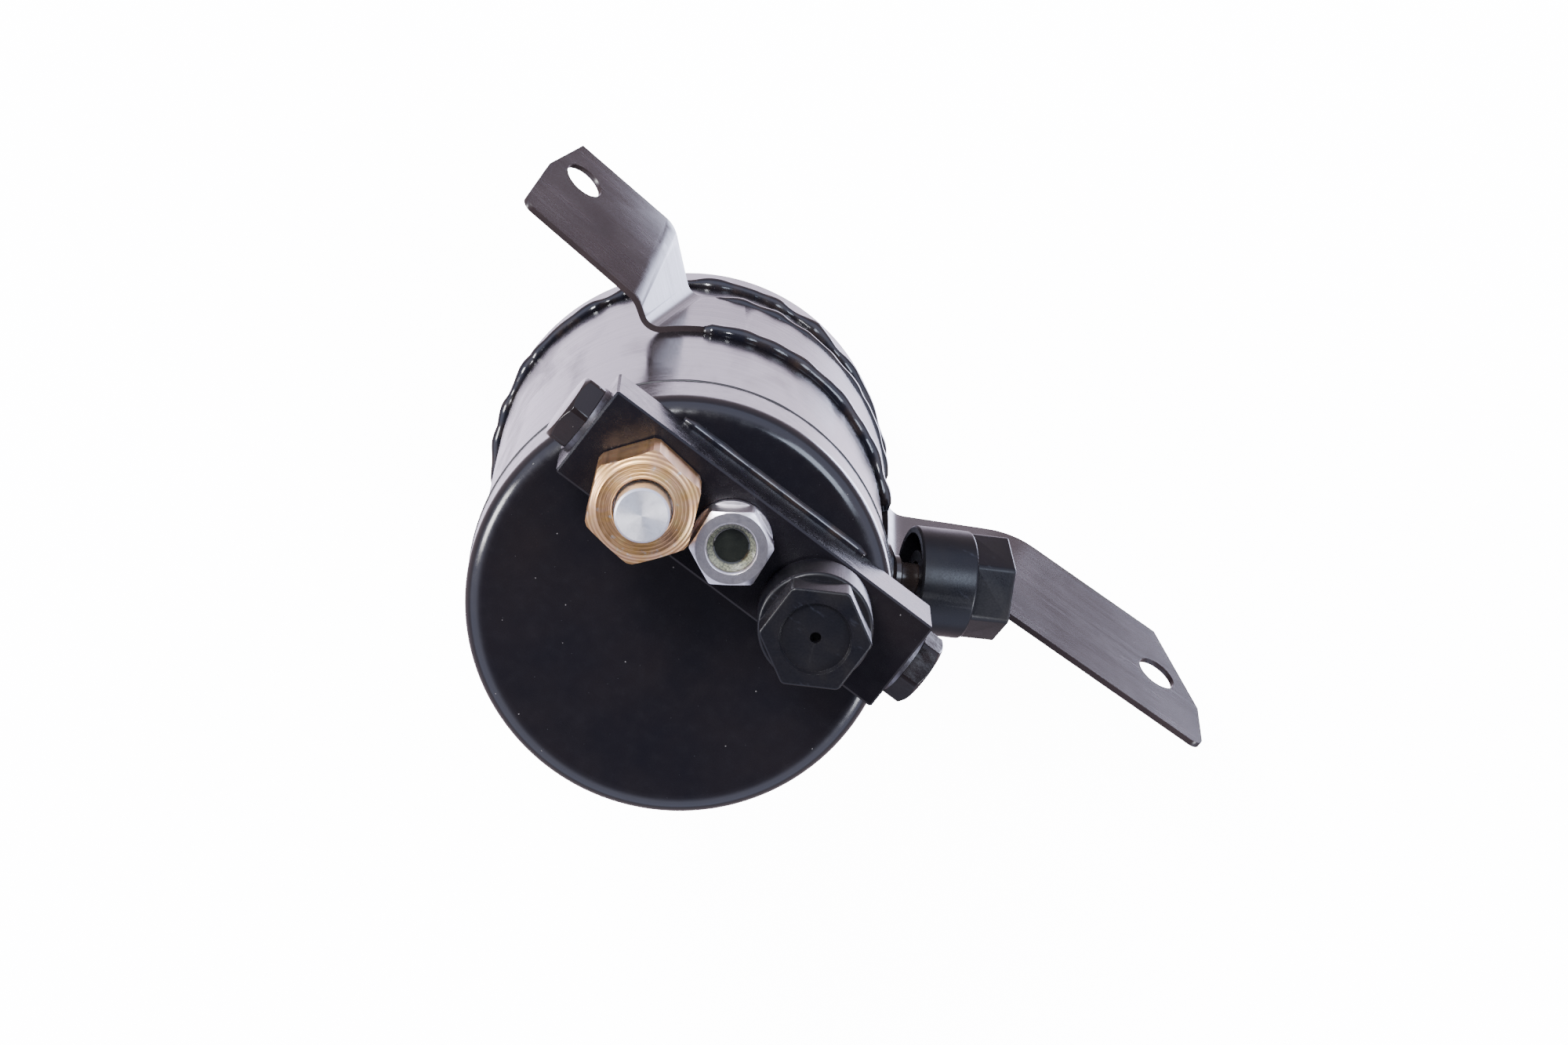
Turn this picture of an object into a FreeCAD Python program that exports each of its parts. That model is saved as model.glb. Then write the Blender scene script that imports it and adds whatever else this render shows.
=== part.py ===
import FreeCAD, Part
import math
import os
from FreeCAD import Placement, Rotation, Vector

# A small welded steel fluid reservoir, in millimetres.
# The vessel stands on its flat base cap: the origin is the centre of the base face, +Z runs up
# the vessel's axis to the manifold end, and X runs along the manifold bar.

# ---------------------------------------------------------------- driving dimensions
vessel_r = 50.0          # outer radius of the two end caps
height = 164.0           # base face to manifold face of the vessel
wall = 3.0               # shell wall
sheet = 1.5              # bracket sheet, measured level
bar_width = 23.6         # manifold bar, across
bar_depth = 21.0         # manifold bar, along the vessel's axis
bar_length = 91.0
mounting_hole_r = 5.25   # clearance for an M10 bolt
cap_r = 13.2             # plastic dust cap skirt
nut_flats = 24.0         # union nut

# ---------------------------------------------------------------- worked-out sizes
skirt = 21.0                       # side wall of the top cap
cap_step = 1.2                     # how far the end caps stand out from the shell
shell_r = vessel_r - cap_step
bore_r = shell_r - wall
seam_z = height - skirt
base_seam_z = 16.0
spigot = 6.0                       # end-cap lip that locates inside the shell
spigot_wall = 2.6
rim_fillet = 5.0
base_fillet = 6.0
top_plate = 8.0
base_plate = 7.0

bar_x = 0.7                        # centre of the bar
bar_y = 24.6
bar_top = height + bar_depth
gallery_z = height + bar_depth / 2
gallery_r = 3.5
plug_shank_r = 4.95
plug_socket_r = 5.0
plug_socket_depth = 12.0
plug_flats = 16.0
plug_head = 5.2
washer_thick = 1.2

union_x = -25.6
union_y = 21.2
sight_x = -3.3
sight_y = 24.9
service_x = 22.4
service_y = 22.7
dip_x = 9.0
dip_y = bar_y
dip_r = 5.0
dip_wall = 1.0

side_clock = 28.0                  # degrees from +X round to +Y
side_z = 96.0
side_droop = 12.3                  # the side port points this far down towards the base
side_mouth = 5.9                   # shell surface to the cap's mouth, along the port

strap_low = 38.0
strap_high = 77.5

OUT = "parts"


# ---------------------------------------------------------------- helpers
def save(shape, node):
    shape.exportStep(OUT + "/" + node + ".step")


def turned(points, place=None):
    """A solid of revolution. A point is (radius, height), or (radius, height, mid radius,
    mid height) where the edge that reaches it is an arc through the middle point."""
    corners = [Vector(p[0], 0, p[1]) for p in points]
    edges = []
    for i, point in enumerate(points):
        start = corners[i - 1]
        if start.distanceToPoint(corners[i]) < 1e-6:
            continue
        if len(point) == 4:
            middle = Vector(point[2], 0, point[3])
            edges.append(Part.Arc(start, middle, corners[i]).toShape())
        else:
            edges.append(Part.LineSegment(start, corners[i]).toShape())
    face = Part.Face(Part.Wire(Part.__sortEdges__(edges)))
    solid = face.revolve(Vector(0, 0, 0), Vector(0, 0, 1), 360)
    if place is not None:
        solid.Placement = place
    return solid


def rounded(r, z, fillet, up):
    """The arc point that rounds an outer corner at radius r and level z (up = 1 or -1)."""
    inset = fillet * (1 - math.cos(math.pi / 4))
    return (r, z - up * fillet, r - inset, z - up * inset)


def hexagon(flats, low, high, clip_r, turn, round_r=0.0):
    """A hexagonal prism on Z with its corners clipped to a circle of radius clip_r."""
    corner = flats / math.sqrt(3)
    ring = []
    for k in range(7):
        angle = math.radians(turn + 60 * k)
        ring.append(Vector(corner * math.cos(angle), corner * math.sin(angle), low))
    prism = Part.Face(Part.makePolygon(ring)).extrude(Vector(0, 0, high - low))
    if round_r > 0:
        upright = [e for e in prism.Edges if abs(e.tangentAt(e.FirstParameter).z) > 0.9]
        prism = prism.makeFillet(round_r, upright)
    return prism.common(Part.makeCylinder(clip_r, high - low, Vector(0, 0, low)))


def thread(r, low, high, pitch, depth):
    """Profile points, going up, of a shank whose thread is drawn as rings."""
    points = [(r - depth, low)]
    rings = int((high - low) / pitch)
    for k in range(rings):
        z = low + k * pitch
        points.append((r, z + 0.35 * pitch))
        points.append((r, z + 0.65 * pitch))
        points.append((r - depth, z + pitch))
    return points


def coil(r, wire_r, low, high, turns):
    """A helical spring on Z."""
    helix = Part.makeHelix((high - low) / turns, high - low, r)
    helix.translate(Vector(0, 0, low))
    ring = Part.makeCircle(wire_r, Vector(r, 0, low), Vector(0, 1, 0.12))
    return Part.Wire(helix).makePipeShell([Part.Wire(ring)], True, True)


def at(x, y, z):
    return Placement(Vector(x, y, z), Rotation())


def placed(shape, place):
    result = shape.copy()
    result.Placement = place.multiply(result.Placement)
    return result


# ---------------------------------------------------------------- vessel
def make_shell(side_place):
    tube = Part.makeCylinder(shell_r, seam_z - base_seam_z, Vector(0, 0, base_seam_z))
    tube = tube.cut(Part.makeCylinder(bore_r, seam_z - base_seam_z, Vector(0, 0, base_seam_z)))
    port_hole = placed(Part.makeCylinder(port_foot_r, 30.0, Vector(0, 0, -15.0)), side_place)
    return tube.cut(port_hole)


def make_top_cap():
    lip_r = bore_r - spigot_wall
    lip_chamfer = 4.0
    inside = height - top_plate
    skirt_round = 0.7
    cap = turned([
        (0, height),
        (vessel_r - rim_fillet, height),
        rounded(vessel_r, height, rim_fillet, 1),
        (vessel_r, seam_z + skirt_round),
        (vessel_r - skirt_round, seam_z, vessel_r - 0.2, seam_z + 0.2),
        (bore_r, seam_z),
        (bore_r, seam_z - spigot),
        (lip_r, seam_z - spigot),
        (lip_r, inside - lip_chamfer),
        (lip_r - lip_chamfer, inside),
        (0, inside),
    ])
    passage = Part.makeCylinder(dip_r, top_plate + 2, Vector(dip_x, dip_y, inside - 1))
    return cap.cut(passage)


def make_base_cap():
    lip_r = bore_r - spigot_wall
    lip_chamfer = 4.0
    return turned([
        (0, 0),
        (vessel_r - base_fillet, 0),
        (vessel_r, base_fillet, vessel_r - base_fillet * (1 - math.cos(math.pi / 4)),
         base_fillet * (1 - math.cos(math.pi / 4))),
        (vessel_r, base_seam_z),
        (bore_r, base_seam_z),
        (bore_r, base_seam_z + spigot),
        (lip_r, base_seam_z + spigot),
        (lip_r, base_plate + lip_chamfer),
        (lip_r - lip_chamfer, base_plate),
        (0, base_plate),
    ])


def make_base_weld():
    bead_r = 2.0
    ring = Part.makeTorus(shell_r - 0.3, bead_r, Vector(0, 0, base_seam_z + 0.6))
    core = Part.makeCylinder(shell_r, 20.0, Vector(0, 0, base_seam_z))
    foot = Part.makeCylinder(vessel_r, base_seam_z, Vector(0, 0, 0))
    return ring.cut(core).cut(foot)


# ---------------------------------------------------------------- bracket
# Each side is described at the strap's low and high edge by the lines of its inner face.
left_side = {
    "ear_x": -60.0, "ear_y": (51.9, 38.15), "ear_angle": 176.3,
    "leg_point": ((-38.7, 45.9), (-42.3, 35.9)), "leg_angle": (139.8, 146.5),
    "upper_bend": 7.0, "root_bend": 4.0, "end_x": -90.0,
}
right_side = {
    "ear_x": 100.0, "ear_y": (41.4, 30.9), "ear_angle": 2.2,
    "leg_point": ((59.2, 33.0), (62.0, 27.3)), "leg_angle": (28.9, 28.9),
    "upper_bend": 26.0, "root_bend": 5.5, "end_x": 145.0,
}
left_hole = (-69.8, 50.5)            # X and Z of the hole's centre
right_hole = (120.0, 57.0)
saddle_first = 60                    # clock angles between which the strap lies on the shell
saddle_last = 110


def unit(angle):
    return Vector(math.cos(math.radians(angle)), math.sin(math.radians(angle)), 0)


def meet(p, u, q, v):
    """Where the level line through p along u meets the one through q along v."""
    d = q - p
    t = (d.x * v.y - d.y * v.x) / (u.x * v.y - u.y * v.x)
    return p + u * t


def side_route(side, level, turn):
    """Centres and touching points of one side's two bends. turn is 1 on the right side and
    -1 on the left, where the outer face lies on the other hand."""
    ear = unit(side["ear_angle"])
    leg = unit(side["leg_angle"][level])
    ear_point = Vector(side["ear_x"], side["ear_y"][level], 0)
    leg_point = Vector(side["leg_point"][level][0], side["leg_point"][level][1], 0)
    outward = Vector(-leg.y * turn, leg.x * turn, 0)
    ear_out = Vector(-ear.y * turn, ear.x * turn, 0)
    inner = side["upper_bend"]
    upper = meet(ear_point - ear_out * inner, ear, leg_point - outward * inner, leg)
    root_r = side["root_bend"] + sheet
    base = leg_point + outward * root_r
    along = base.dot(leg)
    reach = (shell_r + root_r) ** 2 - base.dot(base) + along ** 2
    root = base + leg * (math.sqrt(reach) - along)
    end = ear_point + ear * ((side["end_x"] - ear_point.x) / ear.x)
    return {"ear_out": ear_out, "outward": outward, "upper": upper, "upper_r": inner,
            "root": root, "root_r": root_r, "end": end}


def face_edges(route, offset, seat):
    """The points of one side on the face that lies offset outside the inner face, from the
    ear's end to the saddle, with the middles of the two bends. seat is the share of the root
    bend that is left out where the face meets the shell."""
    upper_r = route["upper_r"] + offset
    root_r = route["root_r"] - offset
    ear_in = route["upper"] + route["ear_out"] * upper_r
    leg_in = route["upper"] + route["outward"] * upper_r
    middle = route["ear_out"] + route["outward"]
    upper_mid = route["upper"] + middle.normalize() * upper_r
    leg_out = route["root"] - route["outward"] * root_r
    toward = Vector(route["root"]).normalize() * -1
    last = (toward * (1 - seat) - route["outward"] * seat).normalize()
    saddle = route["root"] + last * root_r
    middle = last - route["outward"]
    root_mid = route["root"] + middle.normalize() * root_r
    end = route["end"] + route["ear_out"] * offset
    return end, ear_in, upper_mid, leg_in, leg_out, root_mid, saddle


def polar(point, r):
    """The point at radius r on the level ray through point."""
    return Vector(point).normalize() * r


def face_loop(left, right, offset):
    """The steps along one face of the sheet, from the left ear's end to the right one's. The
    inner face dips into the shell, which trims it; the outer face lies round the shell."""
    seat = 0.0 if offset > 0 else 0.15
    l_end, l_ear, l_up, l_leg, l_foot, l_root, l_saddle = face_edges(left, offset, seat)
    r_end, r_ear, r_up, r_leg, r_foot, r_root, r_saddle = face_edges(right, offset, seat)
    if offset > 0:
        r = shell_r + offset
        l_hold, crown, r_hold = [unit(a) * r for a in (saddle_last, 85, saddle_first)]
        saddle = [("arc", l_saddle, polar(l_saddle + l_hold, r), l_hold),
                  ("arc", l_hold, crown, r_hold),
                  ("arc", r_hold, polar(r_saddle + r_hold, r), r_saddle)]
    else:
        r = shell_r - 1.5
        l_deep, r_deep = polar(l_saddle, r), polar(r_saddle, r)
        saddle = [("line", l_saddle, l_deep), ("arc", l_deep, unit(85) * r, r_deep),
                  ("line", r_deep, r_saddle)]
    return ([("line", l_end, l_ear), ("arc", l_ear, l_up, l_leg), ("line", l_leg, l_foot),
             ("arc", l_foot, l_root, l_saddle)] + saddle
            + [("arc", r_saddle, r_root, r_foot), ("line", r_foot, r_leg),
               ("arc", r_leg, r_up, r_ear), ("line", r_ear, r_end)])


def strip_wire(level, z):
    """The closed outline of the bracket's sheet at one level."""
    edges = []
    left = side_route(left_side, level, -1)
    right = side_route(right_side, level, 1)
    outer = face_loop(left, right, sheet)
    inner = face_loop(left, right, 0.0)
    closing = [("line", outer[-1][2], inner[-1][2])]
    closing += [(s[0],) + tuple(reversed(s[1:])) for s in reversed(inner)]
    closing.append(("line", inner[0][1], outer[0][1]))
    lift = Vector(0, 0, z)
    for step in outer + closing:
        points = [Vector(p) + lift for p in step[1:]]
        if step[0] == "line":
            edges.append(Part.LineSegment(points[0], points[1]).toShape())
        else:
            edges.append(Part.Arc(points[0], points[1], points[2]).toShape())
    return Part.Wire(edges)


def ear_axis(side):
    """Outward normal of an ear's flat."""
    ear = unit(side["ear_angle"])
    low = Vector(side["ear_x"], side["ear_y"][0], strap_low)
    high = Vector(side["ear_x"], side["ear_y"][1], strap_high)
    normal = ear.cross(high - low).normalize()
    return normal * (1 if normal.y > 0 else -1)


def ear_surface(side, hole):
    """The point of an ear's inner face with the X and Z of its hole."""
    share = (hole[1] - strap_low) / (strap_high - strap_low)
    y = side["ear_y"][0] + share * (side["ear_y"][1] - side["ear_y"][0])
    y += (hole[0] - side["ear_x"]) * math.tan(math.radians(side["ear_angle"]))
    return Vector(hole[0], y, hole[1])


def bracket_outline():
    """The bracket seen from the front: both ears' ends are tapered and have one round corner."""
    corner = 3.0
    arc_in = corner * (1 - math.cos(math.pi / 4))
    v = [Vector(x, 0, z) for x, z in (
        (-74.4, strap_low), (-79.5, 55.8), (-80.4, strap_high - corner),
        (-80.4 + corner, strap_high), (136.2 - corner, strap_high),
        (136.2, strap_high - corner), (133.2, 60.6), (116.6, strap_low))]
    left_mid = Vector(-80.4 + arc_in, 0, strap_high - arc_in)
    right_mid = Vector(136.2 - arc_in, 0, strap_high - arc_in)
    edges = [
        Part.LineSegment(v[0], v[1]).toShape(), Part.LineSegment(v[1], v[2]).toShape(),
        Part.Arc(v[2], left_mid, v[3]).toShape(), Part.LineSegment(v[3], v[4]).toShape(),
        Part.Arc(v[4], right_mid, v[5]).toShape(), Part.LineSegment(v[5], v[6]).toShape(),
        Part.LineSegment(v[6], v[7]).toShape(), Part.LineSegment(v[7], v[0]).toShape(),
    ]
    return Part.Face(Part.Wire(edges)).extrude(Vector(0, 80, 0))


def make_bracket():
    low = strip_wire(0, strap_low)
    high = strip_wire(1, strap_high)
    strip = Part.makeLoft([low, high], True, True)
    core = Part.makeCylinder(shell_r, height)
    strip = strip.common(bracket_outline()).cut(core)
    for side, hole in ((left_side, left_hole), (right_side, right_hole)):
        axis = ear_axis(side)
        centre = ear_surface(side, hole)
        strip = strip.cut(Part.makeCylinder(mounting_hole_r, 12.0, centre - axis * 6, axis))
    return strip


def make_bracket_weld(z, first, last, bracket):
    """A fillet of weld along one edge of the strap, from clock angle first to last."""
    bead_r = 2.1
    ring = Part.makeTorus(shell_r + 0.2, bead_r, Vector(0, 0, z), Vector(0, 0, 1), 0, 360,
                          last - first)
    ring.rotate(Vector(0, 0, 0), Vector(0, 0, 1), first)
    core = Part.makeCylinder(shell_r, height)
    return ring.cut(core).cut(bracket)


# ---------------------------------------------------------------- manifold
stub_foot_r = 7.6
stub_foot = 9.0
sight_foot_r = 7.0
sight_foot = 9.0
port_foot_r = 5.2
port_foot = 9.0


def make_manifold_bar():
    edge = 0.5
    left = bar_x - bar_length / 2
    bar = Part.makeBox(bar_length, bar_width, bar_depth,
                       Vector(left, bar_y - bar_width / 2, height))
    bar = bar.makeChamfer(edge, bar.Edges)
    drills = [Part.makeCylinder(gallery_r, bar_length + 2, Vector(left - 1, bar_y, gallery_z),
                                Vector(1, 0, 0))]
    for x, way in ((left, 1), (left + bar_length, -1)):
        drills.append(Part.makeCylinder(plug_socket_r, plug_socket_depth,
                                        Vector(x, bar_y, gallery_z), Vector(way, 0, 0)))
    for x, y, r, deep in ((union_x, union_y, stub_foot_r, stub_foot),
                          (sight_x, sight_y, sight_foot_r, sight_foot),
                          (service_x, service_y, port_foot_r, port_foot)):
        drills.append(Part.makeCylinder(r, deep + 1, Vector(x, y, bar_top - deep)))
    drills.append(Part.makeCylinder(dip_r, 6.0, Vector(dip_x, dip_y, height - 0.5)))
    drills.append(Part.makeCylinder(gallery_r, bar_depth / 2, Vector(dip_x, dip_y, height)))
    for drill in drills:
        bar = bar.cut(drill)
    return bar


def make_manifold_weld():
    """Fillet beads along both long feet of the bar, kept on the flat of the top cap."""
    leg = 2.6
    flat_r = vessel_r - rim_fillet
    beads = []
    for way in (1, -1):
        y = bar_y + way * bar_width / 2
        reach = math.sqrt(flat_r ** 2 - (y + way * leg) ** 2) if way > 0 else bar_length / 2 - 6
        section = [Vector(-reach, y, height), Vector(-reach, y + way * leg, height),
                   Vector(-reach, y, height + leg), Vector(-reach, y, height)]
        bead = Part.Face(Part.makePolygon(section)).extrude(Vector(2 * reach, 0, 0))
        if way < 0:
            bead = bead.common(Part.makeCylinder(flat_r, height, Vector(0, 0, height / 2)))
        beads.append(bead)
    return Part.makeCompound(beads)


def end_place(way):
    """Placement of a part whose own Z points out of one end of the bar."""
    x = bar_x + way * bar_length / 2
    return Placement(Vector(x, bar_y, gallery_z), Rotation(Vector(0, 1, 0), 90 * way))


def make_gallery_plugs():
    chamfer_r = plug_flats / 2
    corner_r = plug_flats / math.sqrt(3) - 0.35
    low = washer_thick
    high = washer_thick + plug_head
    plugs = []
    for way in (-1, 1):
        head = hexagon(plug_flats, low, high, corner_r, 12)
        dome = turned([(0, low), (corner_r + 1, low), (corner_r + 1, high - 1.6),
                       (chamfer_r - 0.4, high), (0, high)])
        shank = turned([(0, -9), (plug_shank_r - 1.2, -9)]
                       + thread(plug_shank_r, -8, 0, 1.0, 0.5)
                       + [(plug_shank_r - 0.6, low), (0, low)])
        plugs.append(placed(head.common(dome).fuse(shank).removeSplitter(), end_place(way)))
    return Part.makeCompound(plugs)


def make_plug_washers():
    washers = []
    for way in (-1, 1):
        ring = Part.makeCylinder(8.6, washer_thick).cut(Part.makeCylinder(5.1, washer_thick))
        washers.append(placed(ring, end_place(way)))
    return Part.makeCompound(washers)


# ---------------------------------------------------------------- union
union_thread_r = 8.0
union_pitch = 1.5
stub_top = 11.0
stub_bore_r = 4.5
nut_low = 1.0
nut_high = 17.0
nut_step = 12.8            # level where the nut's thread ends and its neck begins
neck_r = 6.85
pin_r = 6.35
pin_top = 23.6


def make_union_stub():
    body = [(stub_bore_r, -stub_foot), (stub_foot_r, -stub_foot), (stub_foot_r, 0),
            (union_thread_r - 0.6, 0)]
    body += thread(union_thread_r, 0.6, 10.0, union_pitch, 0.7)
    body += [(union_thread_r - 0.7, stub_top), (stub_bore_r, stub_top)]
    return turned(body, at(union_x, union_y, bar_top))


def make_union_nut():
    corner_r = 13.45
    prism = hexagon(nut_flats, nut_low, nut_high, corner_r, 54)
    crown = turned([(0, nut_low), (nut_flats / 2 - 0.4, nut_low), (corner_r + 0.6, nut_low + 1.0),
                    (corner_r + 0.6, nut_high - 2.6), (nut_flats / 2 - 0.7, nut_high - 0.5),
                    (nut_flats / 2 - 1.4, nut_high), (0, nut_high)])
    inside = turned([(0, nut_low - 1), (union_thread_r + 0.1, nut_low - 1),
                     (union_thread_r + 0.1, nut_step), (neck_r, nut_step),
                     (neck_r, nut_high - 0.4), (neck_r + 0.5, nut_high + 0.1),
                     (0, nut_high + 0.1)])
    return placed(prism.common(crown).cut(inside), at(union_x, union_y, bar_top))


def make_blanking_plug():
    flange_r = 7.5
    tail_r = 4.4
    edge = 0.5
    seat = stub_top + 0.05
    groove_r = 3.1
    return turned([
        (0, seat - 6), (tail_r - 0.6, seat - 6), (tail_r, seat - 5.4), (tail_r, seat - 4),
        (groove_r, seat - 4), (groove_r, seat - 2), (tail_r, seat - 2), (tail_r, seat),
        (flange_r, seat), (flange_r, nut_step - 0.05), (pin_r, nut_step - 0.05),
        (pin_r, pin_top - edge), (pin_r - edge, pin_top), (0, pin_top)],
        at(union_x, union_y, bar_top))


def make_plug_o_ring():
    section = 0.66
    ring = Part.makeTorus(3.1 + section, section, Vector(0, 0, stub_top + 0.05 - 3))
    return placed(ring, at(union_x, union_y, bar_top))


# ---------------------------------------------------------------- sight glass
sight_flats = 17.0
sight_collar = 2.6
sight_top = 10.2
glass_r = 5.6
glass_top = 7.6


def make_sight_glass_body():
    corner_r = 9.65
    collar = Part.makeCylinder(9.4, sight_collar - 0.6, Vector(0, 0, 0.6))
    prism = hexagon(sight_flats, sight_collar, sight_top, corner_r, 36)
    crown = turned([(0, 0), (corner_r + 1, 0), (corner_r + 1, sight_top - 1.0),
                    (sight_flats / 2 - 0.2, sight_top), (0, sight_top)])
    shank = turned([(0, -sight_foot + 0.5), (sight_foot_r - 1, -sight_foot + 0.5)]
                   + thread(sight_foot_r - 0.05, -8, -0.2, 1.0, 0.5)
                   + [(sight_foot_r - 0.6, 0.6), (0, 0.6)])
    body = prism.common(crown).fuse(collar).fuse(shank)
    cavity = turned([(0, -10), (3.9, -10), (3.9, glass_top - 5), (glass_r, glass_top - 5),
                     (glass_r, sight_top - 0.5), (glass_r + 0.5, sight_top + 0.1),
                     (0, sight_top + 0.1)])
    return placed(body.cut(cavity).removeSplitter(), at(sight_x, sight_y, bar_top))


def make_sight_glass_lens():
    low = glass_top - 5
    return turned([(0, low), (glass_r, low), (glass_r, glass_top + 0.6),
                   (glass_r - 1.7, glass_top - 0.6), (0, glass_top - 0.6)],
                  at(sight_x, sight_y, bar_top))


def make_sight_glass_seal():
    ring = Part.makeCylinder(9.0, 0.6).cut(Part.makeCylinder(sight_foot_r, 0.6))
    return placed(ring, at(sight_x, sight_y, bar_top))


# ---------------------------------------------------------------- capped ports
# Heights in this section run from the mouth of the dust cap, along the port.
port_thread_r = 4.4
port_neck_r = 3.9
port_bore_r = 2.65
port_top = 13.85
cap_pitch = 1.25
cap_skirt = 14.2
cap_top = 23.7
cap_flats = 22.6
core_r = 2.6
stem_r = 0.75


def make_port_body(foot, collar_low, collar_high, collar_r):
    body = [(2.0, foot), (port_foot_r, foot), (port_foot_r, collar_low), (collar_r, collar_low),
            (collar_r, collar_high - 0.4), (collar_r - 0.4, collar_high),
            (port_neck_r, collar_high), (port_neck_r, 4.0)]
    body += thread(port_thread_r, 4.2, 12.95, cap_pitch, 0.5)
    body += [(port_thread_r - 0.8, port_top), (port_bore_r, port_top),
             (port_bore_r, 0.4), (2.0, 0.4)]
    return turned(body)


def make_dust_cap(turn):
    """Round skirt with a hexagonal end: a shallow round recess on top, a threaded boss inside.
    One corner of the hexagon is at clock angle turn."""
    boss_r = 7.2
    boss_low = 1.35
    skirt_in = 11.4
    roof = 13.0
    recess_r = 8.35
    recess = 1.2
    skirt = turned([(0, 0), (cap_r - 0.5, 0), (cap_r, 0.5), (cap_r, cap_skirt - 0.9),
                    (cap_r - 0.9, cap_skirt, cap_r - 0.25, cap_skirt - 0.25), (0, cap_skirt)])
    end = hexagon(cap_flats, cap_skirt - 1.5, cap_top, cap_r - 0.15, turn, 1.6)
    top_edges = [e for e in end.Edges
                 if e.BoundBox.ZMin > cap_top - 0.01 and e.BoundBox.ZLength < 0.01]
    end = end.makeFillet(0.6, top_edges)
    cap = skirt.fuse(end)
    hollow = turned([(boss_r, -1), (skirt_in, -1), (skirt_in, roof - 0.8),
                     (skirt_in - 0.8, roof), (boss_r + 0.6, roof), (boss_r, roof - 0.6)])
    below_boss = Part.makeCylinder(boss_r, boss_low + 1, Vector(0, 0, -1))
    bore = Part.makeCylinder(port_thread_r + 0.1, 15.5 + 1, Vector(0, 0, -1))
    dish = turned([(0, cap_top - recess), (recess_r - 0.5, cap_top - recess),
                   (recess_r, cap_top + 0.1), (0, cap_top + 0.1)])
    vent = Part.makeCylinder(1.3, 4.0, Vector(0, 0, cap_top - recess - 3.5))
    for tool in (hollow, below_boss, bore, dish, vent):
        cap = cap.cut(tool)
    return cap.removeSplitter()


def make_cap_seal():
    return turned([(1.6, port_top + 0.05), (4.3, port_top + 0.05), (4.3, 15.45), (1.6, 15.45)])


def make_valve_core():
    return turned([(1.0, 2.0), (core_r, 2.0), (core_r, 12.9), (1.9, 12.9), (1.9, 5.0), (1.0, 5.0)])


def make_valve_pin():
    return turned([(0, -0.6), (stem_r, -0.6), (stem_r, 0.7), (1.8, 0.7), (1.8, 1.6),
                   (stem_r, 1.9), (stem_r, 11.6), (1.6, 11.6), (1.6, 12.2), (stem_r, 12.2),
                   (stem_r, 13.0), (0, 13.2)])


def make_valve_spring(top):
    return coil(1.3, 0.18, 5.3, top, 7)


def make_side_port_weld(side_place):
    ring = turned([(5.45, -4), (8.6, -4), (8.2, -0.3), (5.45, 1.4)])
    core = Part.makeCylinder(shell_r, height)
    return placed(ring, side_place).cut(core)


# ---------------------------------------------------------------- inside the vessel
screen_r = 9.0
screen_low = 10.0
screen_high = 34.0
baffle_z = 60.0


def make_dip_tube():
    low = 15.0
    high = height + 5.4
    tube = Part.makeCylinder(dip_r, high - low, Vector(dip_x, dip_y, low))
    return tube.cut(Part.makeCylinder(dip_r - dip_wall, high - low, Vector(dip_x, dip_y, low)))


def make_pickup_strainer():
    gauge = 0.6
    sleeve = turned([(dip_r, screen_high), (dip_r, screen_high + 4), (dip_r + gauge, screen_high + 4),
                     (dip_r + gauge, screen_high), (screen_r, screen_high - 1),
                     (screen_r, screen_low + 1.5), (screen_r - gauge, screen_low + 1.5),
                     (screen_r - gauge, screen_high - 1 - gauge),
                     (dip_r, screen_high - gauge)])
    rows = 6
    for row in range(rows):
        z = screen_low + 5 + row * 3.2
        for k in range(8):
            angle = k * 22.5 + 11.25 * (row % 2)
            way = Vector(math.cos(math.radians(angle)), math.sin(math.radians(angle)), 0)
            sleeve = sleeve.cut(Part.makeCylinder(1.0, 24.0, way * -12 + Vector(0, 0, z), way))
    return placed(sleeve, at(dip_x, dip_y, 0))


def make_strainer_foot():
    return turned([(0, screen_low), (screen_r + 0.8, screen_low), (screen_r + 0.8, screen_low + 4),
                   (screen_r, screen_low + 4), (screen_r, screen_low + 1.5), (0, screen_low + 1.5)],
                  at(dip_x, dip_y, 0))


def make_baffle_plate():
    gauge = 1.5
    plate = turned([(0, baffle_z), (bore_r, baffle_z), (bore_r, baffle_z + 9),
                    (bore_r - gauge, baffle_z + 9), (bore_r - gauge, baffle_z + gauge),
                    (0, baffle_z + gauge)])
    plate = plate.cut(Part.makeCylinder(dip_r + 0.1, 20, Vector(dip_x, dip_y, baffle_z - 5)))
    for ring_r, count in ((18.0, 6), (36.0, 12)):
        for k in range(count):
            angle = math.radians(360 / count * (k + 0.5) + 7)
            spot = Vector(ring_r * math.cos(angle), ring_r * math.sin(angle), baffle_z - 5)
            if math.hypot(spot.x - dip_x, spot.y - dip_y) > dip_r + 6:
                plate = plate.cut(Part.makeCylinder(3.5, 20, spot))
    return plate


def make_return_diffuser():
    """A blind, side-drilled tube pushed on the inner end of the side port, in port heights."""
    top = -side_mouth - 6.5
    length = 24.0
    tube = turned([(3.7, top), (5.2, top), (5.2, top - length), (0, top - length),
                   (0, top - length + 1.5), (3.7, top - length + 1.5)])
    for row in range(3):
        z = top - 8 - row * 5
        for way in (Vector(1, 0, 0), Vector(0, 1, 0)):
            tube = tube.cut(Part.makeCylinder(1.5, 16, Vector(0, 0, z) - way * 8, way))
    return tube


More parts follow.
